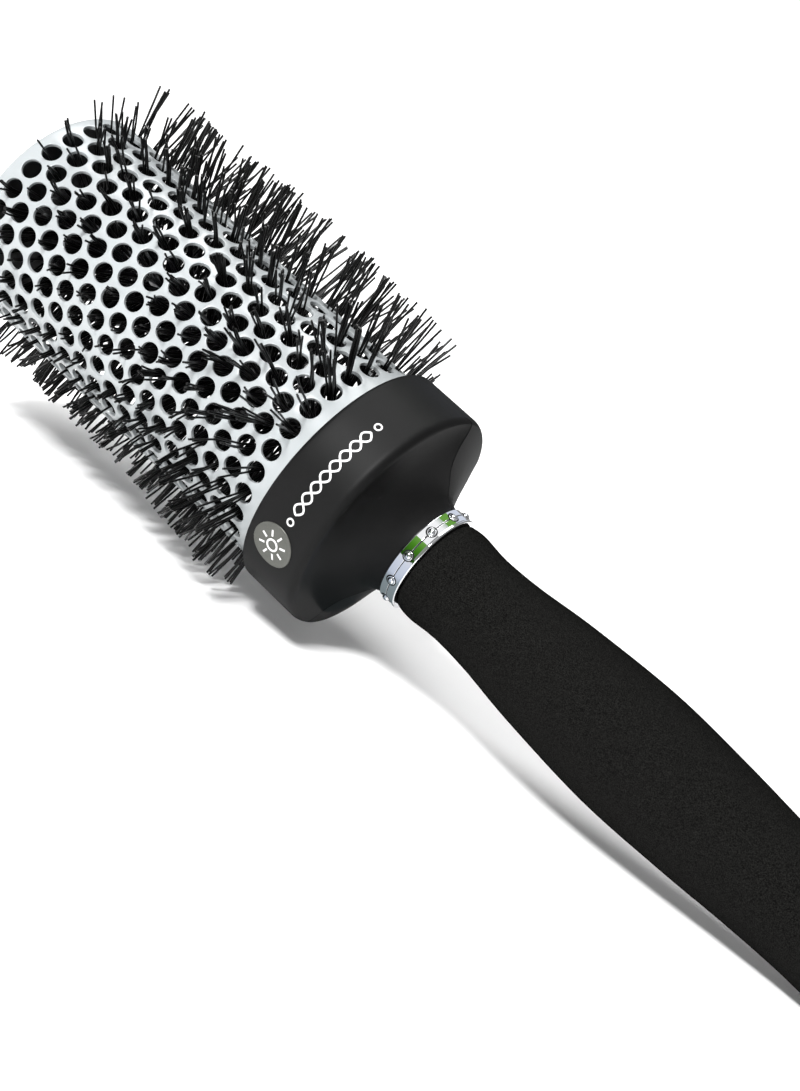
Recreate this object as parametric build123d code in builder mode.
"""Round barrel hair brush: a perforated metal barrel on a foam-sleeved handle.

Every piece is drawn with the brush's own axis along X, x = 0 at the last ring of holes and +X towards
the grip. RESTING then lays it down as it lies on a table: on its bristle tips and on the butt cap.
"""

import math
import os

from build123d import *

os.makedirs("parts", exist_ok=True)

# Barrel: rings of holes in a close-packed lattice, every other ring half a step round
RING_COUNT = 18
RING_PITCH = 5.14
HOLES_PER_RING = 28
HOLE_STEP = 360 / HOLES_PER_RING
HOLE_R = 2.35
BARREL_R = 26.5
BARREL_WALL = 0.8
BARREL_FRONT = -92.5
BARREL_REAR = 11.5
RIM_LIP = 1.7
RIM_ROUND = 1.2

# Bristles: one tuft through every hole, trimmed to one circle about the core
TUFT_R = 0.45
TUFT_TIP_R = 37.8
HUB_R = 4.6
HUB_LENGTH = 2.4
WIRE_R = 1.5
WIRE_SEAT_GAP = 0.05
WIRE_SEAT_DEPTH = 1.9
CAP_FLANGE = 1.2
CAP_FACE_STEP = 1.5
CORE_FRONT = -91.0
CORE_REAR = 6.0
CORE_BOW = 5.9
CORE_BOW_ANGLE = 15.6

# Barrel plug, its screws and its socket for the handle core
PLUG_FRONT = 3.0
PLUG_DISC_REAR = 8.0
PLUG_RIM_R = 22.5
SOCKET_R = 9.0
SOCKET_REAR = 20.0
SCREW_COUNT = 3
SCREW_X = 9.0
SCREW_R = 1.0
SCREW_HEAD_R = 1.9
SCREW_HEAD_HEIGHT = 0.8
SCREW_TIP_RADIUS = 23.3
DRIVE_LENGTH = 2.4
DRIVE_WIDTH = 0.6

# Shoulder shell: a round band, then a back that narrows to the neck with a scoop on two sides
LIP_FRONT = 5.4
LIP_DEPTH = 1.1
BAND_R = 29.0
BAND_REAR = 20.2
NECK_X = 30.8
NECK_R = 12.6
SCREW_ROOM_R = 27.6
SCOOP_ANGLE = 159.4
SCOOP_SWEEP = 116.0

# Badge and printed motif on the band
BADGE_R = 5.15
BADGE_X = 12.7
BADGE_ANGLE = 204.4
BADGE_BASE_RADIUS = 28.2
BADGE_TOP_RADIUS = 29.2
EMBLEM_TOP_RADIUS = 29.35
EMBLEM_RAYS = 8
PRINT_X = 13.8
PRINT_START = 133.4
PRINT_SWEEP = 56.0
PRINT_TOP_RADIUS = 29.12

# Neck ring and its studs
RING_REAR = 35.2
RING_PARTING = 33.0
RING_BED_R = 11.0
RING_R = 12.4
STUD_COUNT = 11
STUD_PHASE = 6
STUD_R = 1.0
STUD_TOP_RADIUS = 12.9

# Handle core, foam grip and butt cap
STEM_R = 6.0
STEM_FRONT = 11.0
CORE_R = 8.0
CORE_STEP = 27.5
PIN_X = 16.5
PIN_R = 1.25
GRIP_REAR = 156.0
GRIP_END_R = 12.6
CORE_BORE_R = 4.5
CORE_BORE_FRONT = 60.0
CAP_PLUG_DEPTH = 10.0
CAP_EDGE_ROUND = 3.0
CAP_EDGE_X = 158.5

# How it lies: the drum touches with two tufts of the last ring, the handle with the butt cap's edge
half_step = math.radians(HOLE_STEP / 2)
drum_drop = TUFT_TIP_R * math.cos(half_step) + TUFT_R * math.sin(half_step)
cap_edge_centre = GRIP_END_R - CAP_EDGE_ROUND
contact_run = CAP_EDGE_X - TUFT_R
contact_fall = drum_drop - cap_edge_centre
tilt = math.atan2(contact_fall, contact_run) - math.asin(CAP_EDGE_ROUND / math.hypot(contact_run, contact_fall))
axis_height = TUFT_R * math.sin(tilt) + drum_drop * math.cos(tilt)
butt_x = CAP_EDGE_X + CAP_EDGE_ROUND
most_forward = butt_x * math.cos(tilt) + cap_edge_centre * math.sin(tilt)
rim_mid_r = BARREL_R - RIM_ROUND
rearmost = (BARREL_FRONT + RIM_ROUND) * math.cos(tilt) - rim_mid_r * math.sin(tilt) - RIM_ROUND


def ring_x(ring):
    """Place along the axis of one ring of holes, counted from the barrel's free end."""
    return (ring - (RING_COUNT - 1)) * RING_PITCH


def around(angle):
    """Unit vector across the axis, at an angle from +Y towards +Z."""
    return Vector(0, math.cos(math.radians(angle)), math.sin(math.radians(angle)))


def on_surface(x, angle, radius):
    """Plane that touches a cylinder of the given radius, its own Z pointing outwards."""
    outward = around(angle)
    return Plane(origin=Vector(x, 0, 0) + outward * radius, x_dir=(1, 0, 0), z_dir=outward)


def hole_angles(ring):
    """Angles of the holes of one ring; odd rings sit half a step round."""
    return [(hole + 0.5 * (ring % 2)) * HOLE_STEP for hole in range(HOLES_PER_RING)]


# The core wire bows to one side: a circle through the axis at CORE_FRONT and at the last ring
bow_side = around(CORE_BOW_ANGLE)
bow_span = -CORE_FRONT
bow_radius = (bow_span**2 / 4 + CORE_BOW**2) / (2 * CORE_BOW)
bow_middle = CORE_FRONT / 2


def core_offset(x):
    """How far the bowed core lies off the axis at x."""
    return math.sqrt(bow_radius**2 - (x - bow_middle) ** 2) - (bow_radius - CORE_BOW)


def core_point(x):
    """Point on the bowed core's centre line."""
    return Vector(x, 0, 0) + bow_side * core_offset(x)


def core_plane(x):
    """Plane across the bowed core at x, its own Z along the wire."""
    slope = -(x - bow_middle) / math.sqrt(bow_radius**2 - (x - bow_middle) ** 2)
    return Plane(origin=core_point(x), z_dir=Vector(1, 0, 0) + bow_side * slope)


def make_barrel_tube():
    """Thin tube with a rolled-in front rim, a hole for every tuft and three for its screws."""
    inner = BARREL_R - BARREL_WALL
    lip = BARREL_R - BARREL_WALL - RIM_LIP
    with BuildPart() as tube:
        with BuildSketch(Plane.XY) as wall:
            with BuildLine():
                Polyline(
                    (BARREL_REAR, inner),
                    (BARREL_REAR, BARREL_R),
                    (BARREL_FRONT, BARREL_R),
                    (BARREL_FRONT, lip),
                    (BARREL_FRONT + BARREL_WALL, lip),
                    (BARREL_FRONT + BARREL_WALL, inner),
                    close=True,
                )
            make_face()
            front_corner = wall.vertices().group_by(Axis.X)[0].sort_by(Axis.Y)[-1]
            fillet(front_corner, RIM_ROUND)
        revolve(axis=Axis.X)
        holes = [
            on_surface(ring_x(ring), angle, BARREL_R)
            for ring in range(RING_COUNT)
            for angle in hole_angles(ring)
        ]
        with Locations(*holes):
            Cylinder(HOLE_R, 4 * BARREL_WALL, mode=Mode.SUBTRACT)
        with Locations(*[on_surface(SCREW_X, angle, BARREL_R) for angle in screw_angles()]):
            Cylinder(SCREW_R, 4 * BARREL_WALL, mode=Mode.SUBTRACT)
    return tube


def make_tip_cap():
    """Moulded disc behind the barrel's rim, with a seat for the front end of the core wire."""
    inner = BARREL_R - BARREL_WALL
    lip = inner - RIM_LIP
    disc_rear = BARREL_FRONT + BARREL_WALL + CAP_FLANGE
    seat_end = BARREL_FRONT + BARREL_WALL + WIRE_SEAT_DEPTH
    with BuildPart() as cap:
        with BuildSketch(Plane.XY):
            with BuildLine():
                Polyline(
                    (BARREL_FRONT, 0),
                    (BARREL_FRONT, lip - CAP_FACE_STEP),
                    (BARREL_FRONT + BARREL_WALL, lip),
                    (BARREL_FRONT + BARREL_WALL, inner),
                    (disc_rear, inner),
                    (disc_rear, 2.5 * WIRE_R),
                    (seat_end, 2.5 * WIRE_R),
                    (seat_end, 0),
                    close=True,
                )
            make_face()
        revolve(axis=Axis.X)
        with Locations(core_plane(CORE_FRONT)):
            Cylinder(
                WIRE_R + WIRE_SEAT_GAP,
                2 * WIRE_SEAT_DEPTH,
                align=(Align.CENTER, Align.CENTER, Align.MIN),
                mode=Mode.SUBTRACT,
            )
    return cap


def make_core_wire():
    """Bowed steel core that the filaments are clamped in."""
    with BuildPart() as wire:
        with BuildLine() as route:
            ThreePointArc(core_point(CORE_FRONT), core_point(bow_middle), core_point(CORE_REAR))
        with BuildSketch(core_plane(CORE_FRONT)):
            Circle(WIRE_R)
        sweep(path=route.wires()[0])
    return wire


def tuft_directions(ring):
    """Unit vectors from the core through each hole of one ring."""
    x = ring_x(ring)
    holes = [Vector(x, 0, 0) + around(angle) * BARREL_R for angle in hole_angles(ring)]
    return [(hole - core_point(x)).normalized() for hole in holes]


def make_bristle_ring(ring):
    """Hub clamped on the core, with one straight tuft through each hole of its ring."""
    x = ring_x(ring)
    centre = core_point(x)
    with BuildPart() as bristles:
        with Locations(core_plane(x)):
            Cylinder(HUB_R, HUB_LENGTH)
        tufts = []
        for outward in tuft_directions(ring):
            root = centre + outward * (HUB_R - TUFT_R)
            tufts.append(Plane(origin=root, x_dir=(1, 0, 0), z_dir=outward))
        with Locations(*tufts):
            Cylinder(TUFT_R, TUFT_TIP_R - HUB_R + TUFT_R, align=(Align.CENTER, Align.CENTER, Align.MIN))
        with Locations(core_plane(x)):
            Cylinder(WIRE_R + WIRE_SEAT_GAP, 2 * HUB_LENGTH, mode=Mode.SUBTRACT)
    return bristles


def screw_angles():
    """Angles of the plug screws, one of them at the top."""
    return [90 + 360 / SCREW_COUNT * number for number in range(SCREW_COUNT)]


def make_barrel_plug():
    """Plug in the barrel's rear end: a disc with a rim, a wire seat and a socket for the handle core."""
    inner = BARREL_R - BARREL_WALL
    with BuildPart() as plug:
        with BuildSketch(Plane.XY):
            with BuildLine():
                Polyline(
                    (PLUG_FRONT, 0),
                    (PLUG_FRONT, inner),
                    (BARREL_REAR, inner),
                    (BARREL_REAR, PLUG_RIM_R),
                    (PLUG_DISC_REAR, PLUG_RIM_R),
                    (PLUG_DISC_REAR, SOCKET_R),
                    (SOCKET_REAR, SOCKET_R),
                    (SOCKET_REAR, STEM_R),
                    (STEM_FRONT, STEM_R),
                    (STEM_FRONT, 0),
                    close=True,
                )
            make_face()
        revolve(axis=Axis.X)
        with Locations(core_plane(CORE_REAR)):
            Cylinder(
                WIRE_R + WIRE_SEAT_GAP,
                2 * (CORE_REAR - PLUG_FRONT),
                align=(Align.CENTER, Align.CENTER, Align.MAX),
                mode=Mode.SUBTRACT,
            )
        with Locations(*[on_surface(SCREW_X, angle, SCREW_TIP_RADIUS) for angle in screw_angles()]):
            Cylinder(SCREW_R, BARREL_R, align=(Align.CENTER, Align.CENTER, Align.MIN), mode=Mode.SUBTRACT)
        with Locations(on_surface(PIN_X, 0, 0)):
            Cylinder(PIN_R, 4 * SOCKET_R, mode=Mode.SUBTRACT)
    return plug


def make_plug_screws():
    """Three small round-headed screws through the barrel's wall into the plug."""
    with BuildPart() as screws:
        with Locations(*[on_surface(SCREW_X, angle, SCREW_TIP_RADIUS) for angle in screw_angles()]):
            Cylinder(SCREW_R, BARREL_R - SCREW_TIP_RADIUS, align=(Align.CENTER, Align.CENTER, Align.MIN))
        with Locations(*[on_surface(SCREW_X, angle, BARREL_R) for angle in screw_angles()]):
            Cylinder(SCREW_HEAD_R, SCREW_HEAD_HEIGHT, align=(Align.CENTER, Align.CENTER, Align.MIN))
        with Locations(*[on_surface(SCREW_X, angle, BARREL_R + SCREW_HEAD_HEIGHT) for angle in screw_angles()]):
            Box(DRIVE_LENGTH, DRIVE_WIDTH, DRIVE_WIDTH, mode=Mode.SUBTRACT)
            Box(DRIVE_WIDTH, DRIVE_LENGTH, DRIVE_WIDTH, mode=Mode.SUBTRACT)
    return screws


def make_scoop_cutter(direction):
    """Solid that hollows one side of the shoulder's back, swept about the axis."""
    with BuildPart(mode=Mode.PRIVATE) as scoop:
        with BuildSketch(Plane.XY):
            with BuildLine():
                ThreePointArc((BAND_REAR, BAND_R + 1), (23.3, 17.0), (NECK_X - 0.1, NECK_R + 0.2))
                Polyline(
                    (NECK_X - 0.1, NECK_R + 0.2),
                    (NECK_X + 1, NECK_R + 0.2),
                    (NECK_X + 1, BAND_R + 1),
                    (BAND_REAR, BAND_R + 1),
                )
            make_face()
        revolve(axis=Axis.X, revolution_arc=SCOOP_SWEEP)
    return Rot(direction - SCOOP_SWEEP / 2, 0, 0) * scoop.part


def make_shoulder_shell():
    """Band over the barrel's end, hollow inside, with its back scooped on two opposite sides."""
    scoops = [make_scoop_cutter(SCOOP_ANGLE), make_scoop_cutter(SCOOP_ANGLE + 180)]
    with BuildPart() as shell:
        with BuildSketch(Plane.XY):
            with BuildLine():
                Polyline((LIP_FRONT, BARREL_R), (LIP_FRONT, BAND_R - 1.4))
                ThreePointArc(
                    (LIP_FRONT, BAND_R - 1.4), (LIP_FRONT + 0.41, BAND_R - 0.41), (LIP_FRONT + 1.4, BAND_R)
                )
                Line((LIP_FRONT + 1.4, BAND_R), (BAND_REAR, BAND_R))
                ThreePointArc((BAND_REAR, BAND_R), (BAND_REAR + 1.6, BAND_R - 0.5), (BAND_REAR + 2.6, BAND_R - 1.8))
                ThreePointArc((BAND_REAR + 2.6, BAND_R - 1.8), (27.6, 19.9), (NECK_X, NECK_R))
                Polyline(
                    (NECK_X, NECK_R),
                    (NECK_X, CORE_R),
                    (CORE_STEP, CORE_R),
                    (CORE_STEP - 3, 10.5),
                    (SOCKET_REAR, 14.0),
                    (PIN_X, 20.0),
                    (BARREL_REAR, 20.0),
                    (BARREL_REAR, SCREW_ROOM_R),
                    (LIP_FRONT + LIP_DEPTH, SCREW_ROOM_R),
                    (LIP_FRONT + LIP_DEPTH, BARREL_R),
                    (LIP_FRONT, BARREL_R),
                )
            make_face()
        revolve(axis=Axis.X)
        for scoop in scoops:
            add(scoop, mode=Mode.SUBTRACT)
        with Locations(on_surface(BADGE_X, BADGE_ANGLE, BADGE_BASE_RADIUS)):
            Cylinder(BADGE_R, BAND_R, align=(Align.CENTER, Align.CENTER, Align.MIN), mode=Mode.SUBTRACT)
    return shell


def curved_layer(base_radius, top_radius):
    """Tube about the axis that cuts a flat-sided shape down to one curved layer of the band."""
    length = 4 * BADGE_R
    middle = Location((BADGE_X, 0, 0), (0, 90, 0))
    return middle * (Cylinder(top_radius, length) - Cylinder(base_radius, length))


def make_badge_disc():
    """Round badge let into the band and curved with it."""
    layer = curved_layer(BADGE_BASE_RADIUS + 0.3, BADGE_TOP_RADIUS)
    with BuildPart() as badge:
        with Locations(on_surface(BADGE_X, BADGE_ANGLE, BADGE_BASE_RADIUS)):
            Cylinder(BADGE_R, 3, align=(Align.CENTER, Align.CENTER, Align.MIN))
        add(layer, mode=Mode.INTERSECT)
    return badge


def make_badge_emblem():
    """Raised outline of a round brush seen end on: a ring with short rays round it."""
    layer = curved_layer(BADGE_TOP_RADIUS, EMBLEM_TOP_RADIUS)
    with BuildPart() as emblem:
        with BuildSketch(on_surface(BADGE_X, BADGE_ANGLE, BADGE_BASE_RADIUS)):
            Circle(1.7)
            Circle(1.1, mode=Mode.SUBTRACT)
            with PolarLocations(3.1, EMBLEM_RAYS):
                Rectangle(1.7, 0.45)
        extrude(amount=3)
        add(layer, mode=Mode.INTERSECT)
    return emblem


def make_band_print():
    """Three fine printed lines round the band, each shorter than the one before."""
    with BuildPart() as lines:
        for number in range(3):
            sweep_angle = PRINT_SWEEP - 10 * number
            with BuildSketch(Plane.XY.rotated((PRINT_START, 0, 0))):
                with Locations((PRINT_X - 1.2 + 1.2 * number, (BAND_R + PRINT_TOP_RADIUS) / 2)):
                    Rectangle(0.45, PRINT_TOP_RADIUS - BAND_R)
            revolve(axis=Axis.X, revolution_arc=sweep_angle)
    return lines


def stud_planes(radius):
    """Seats of the studs along the parting of the two ring bands."""
    angles = [STUD_PHASE + number * 360 / STUD_COUNT for number in range(STUD_COUNT)]
    return [on_surface(RING_PARTING, angle, radius) for angle in angles]


def make_ring_band(front, rear, rounded_end):
    """One chromed band of the neck ring, with half of every stud's seat cut in it."""
    with BuildPart() as band:
        with BuildSketch(Plane.XY) as section:
            with Locations(((front + rear) / 2, (RING_BED_R + RING_R) / 2)):
                Rectangle(rear - front, RING_R - RING_BED_R)
            outer = section.vertices().group_by(Axis.Y)[-1].sort_by(Axis.X)
            fillet(outer[rounded_end], 0.7)
        revolve(axis=Axis.X)
        with Locations(*stud_planes(CORE_R)):
            Cylinder(STUD_R, RING_R, align=(Align.CENTER, Align.CENTER, Align.MIN), mode=Mode.SUBTRACT)
    return band


def make_ring_studs():
    """Small domed studs in a circle."""
    dome_depth = 0.6
    with BuildPart() as studs:
        with Locations(*stud_planes(RING_BED_R)):
            Cylinder(STUD_R, STUD_TOP_RADIUS - RING_BED_R, align=(Align.CENTER, Align.CENTER, Align.MIN))
        rims = studs.edges().filter_by(lambda rim: math.hypot(rim.center().Y, rim.center().Z) > RING_R)
        fillet(rims, dome_depth)
    return studs


def make_ring_liner():
    """Plastic bush between the handle core and the ring bands."""
    with BuildPart() as liner:
        with BuildSketch(Plane.YZ.offset(NECK_X)):
            Circle(RING_BED_R)
            Circle(CORE_R, mode=Mode.SUBTRACT)
        extrude(amount=RING_REAR - NECK_X)
    return liner


def make_handle_core():
    """Stiff stem from the plug's socket to the butt, bored out from behind."""
    with BuildPart() as core:
        with BuildSketch(Plane.XY):
            with BuildLine():
                Polyline(
                    (STEM_FRONT, 0),
                    (STEM_FRONT, STEM_R),
                    (CORE_STEP, STEM_R),
                    (CORE_STEP, CORE_R),
                    (GRIP_REAR, CORE_R),
                    (GRIP_REAR, CORE_BORE_R),
                    (CORE_BORE_FRONT, CORE_BORE_R),
                    (CORE_BORE_FRONT - CORE_BORE_R, 0),
                    close=True,
                )
            make_face()
        revolve(axis=Axis.X)
        with Locations(on_surface(PIN_X, 0, 0)):
            Cylinder(PIN_R, 4 * SOCKET_R, mode=Mode.SUBTRACT)
    return core


def make_cross_pin():
    """Steel pin that locks the handle core in the plug's socket."""
    with BuildPart() as pin:
        with Locations(on_surface(PIN_X, 0, 0)):
            Cylinder(PIN_R, 2 * SOCKET_R)
        chamfer(pin.edges().group_by(Axis.Y)[0], 0.3)
        chamfer(pin.edges().group_by(Axis.Y)[-1], 0.3)
    return pin


def make_foam_grip():
    """Foam sleeve with a slim neck, a full middle and a slight flare at the butt."""
    with BuildPart() as grip:
        with BuildSketch(Plane.XY):
            with BuildLine():
                Spline(
                    (RING_REAR, 11.4),
                    (39.5, 11.6),
                    (46.5, 11.0),
                    (56.0, 11.5),
                    (70.0, 13.0),
                    (92.0, 14.25),
                    (112.0, 13.5),
                    (128.0, 12.4),
                    (141.0, 11.9),
                    (149.0, 12.1),
                    (GRIP_REAR, GRIP_END_R),
                )
                Polyline(
                    (GRIP_REAR, GRIP_END_R), (GRIP_REAR, CORE_R), (RING_REAR, CORE_R), (RING_REAR, 11.4)
                )
            make_face()
        revolve(axis=Axis.X)
    return grip


def make_butt_cap():
    """Moulded cap with a rounded edge and a flat end, plugged into the handle core."""
    diagonal = CAP_EDGE_ROUND * math.sqrt(0.5)
    with BuildPart() as cap:
        with BuildSketch(Plane.XY):
            with BuildLine():
                Polyline(
                    (butt_x, cap_edge_centre),
                    (butt_x, 0),
                    (GRIP_REAR - CAP_PLUG_DEPTH, 0),
                    (GRIP_REAR - CAP_PLUG_DEPTH, CORE_BORE_R),
                    (GRIP_REAR, CORE_BORE_R),
                    (GRIP_REAR, GRIP_END_R),
                    (CAP_EDGE_X, GRIP_END_R),
                )
                ThreePointArc(
                    (CAP_EDGE_X, GRIP_END_R),
                    (CAP_EDGE_X + diagonal, cap_edge_centre + diagonal),
                    (butt_x, cap_edge_centre),
                )
            make_face()
        revolve(axis=Axis.X)
    return cap


pieces = {
    "barrel_tube": make_barrel_tube(),
    "tip_cap": make_tip_cap(),
    "core_wire": make_core_wire(),
    "barrel_plug": make_barrel_plug(),
    "plug_screws": make_plug_screws(),
    "shoulder_shell": make_shoulder_shell(),
    "badge_disc": make_badge_disc(),
    "badge_emblem": make_badge_emblem(),
    "band_print": make_band_print(),
    "neck_ring_front": make_ring_band(NECK_X, RING_PARTING, 0),
    "neck_ring_rear": make_ring_band(RING_PARTING, RING_REAR, -1),
    "ring_studs": make_ring_studs(),
    "ring_liner": make_ring_liner(),
    "handle_core": make_handle_core(),
    "cross_pin": make_cross_pin(),
    "foam_grip": make_foam_grip(),
    "butt_cap": make_butt_cap(),
}
for ring in range(RING_COUNT):
    pieces[f"bristle_ring_{ring + 1:02d}"] = make_bristle_ring(ring)

# The rest pose, with the origin in the middle of the whole brush's width and length
tip_sides = []
for ring in range(RING_COUNT):
    for outward in tuft_directions(ring):
        tip = core_point(ring_x(ring)) + outward * TUFT_TIP_R
        spread = TUFT_R * math.sqrt(1 - outward.Y**2)
        tip_sides += [tip.Y - spread, tip.Y + spread]
middle_x = (most_forward + rearmost) / 2
middle_y = (min(tip_sides) + max(tip_sides)) / 2
RESTING = Location((-middle_x, -middle_y, axis_height), (0, math.degrees(tilt), 0))

for label, piece in pieces.items():
    piece.part.label = label
    piece.part.locate(RESTING)
    export_step(piece.part, f"parts/{label}.step")

print(f"tilt {math.degrees(tilt):.3f} degrees, axis at x {-middle_x:.4f}, y {-middle_y:.4f}, z {axis_height:.4f} mm")
